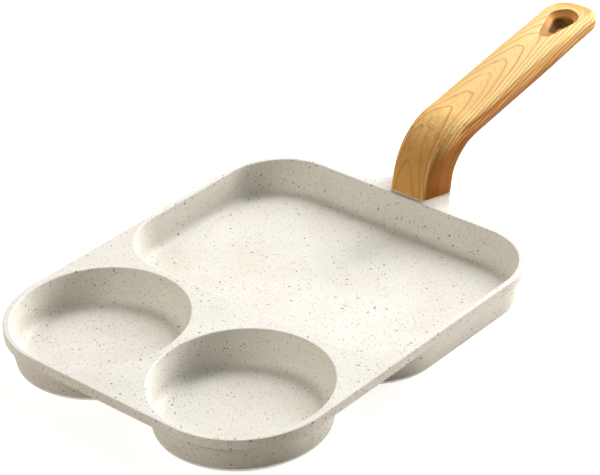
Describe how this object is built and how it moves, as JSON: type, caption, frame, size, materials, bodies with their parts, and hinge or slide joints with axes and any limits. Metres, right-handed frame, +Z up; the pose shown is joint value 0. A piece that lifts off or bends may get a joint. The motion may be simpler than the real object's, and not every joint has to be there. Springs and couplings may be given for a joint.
{
  "type": "divided frying pan",
  "caption": "Cast frying pan with two round wells and a rectangular compartment, a flat deck between them, and an upright bent handle with a hanging hole.",
  "frame": {"origin": "centre of the rectangular compartment's underside, on the surface that the pan stands on", "axes": "+X across the pan to its right, +Y along the pan from the round wells to the handle's tip, +Z up"},
  "size_m": [0.192, 0.3898, 0.0733],
  "materials": {
    "coated_casting": "speckled cream non-stick coating over cast aluminium, satin",
    "handle_wood": "pale golden softwood grain, satin lacquer",
    "insert_brass": "turned, with grooves",
    "fastener_steel": "plain stainless steel, as made"
  },
  "bodies": {
    "root": {"pan_body": "coated_casting", "handle": "handle_wood", "handle_insert": "insert_brass", "handle_screw": "fastener_steel", "spring_washer": "fastener_steel", "flat_washer": "fastener_steel"}
  },
  "joints": []
}
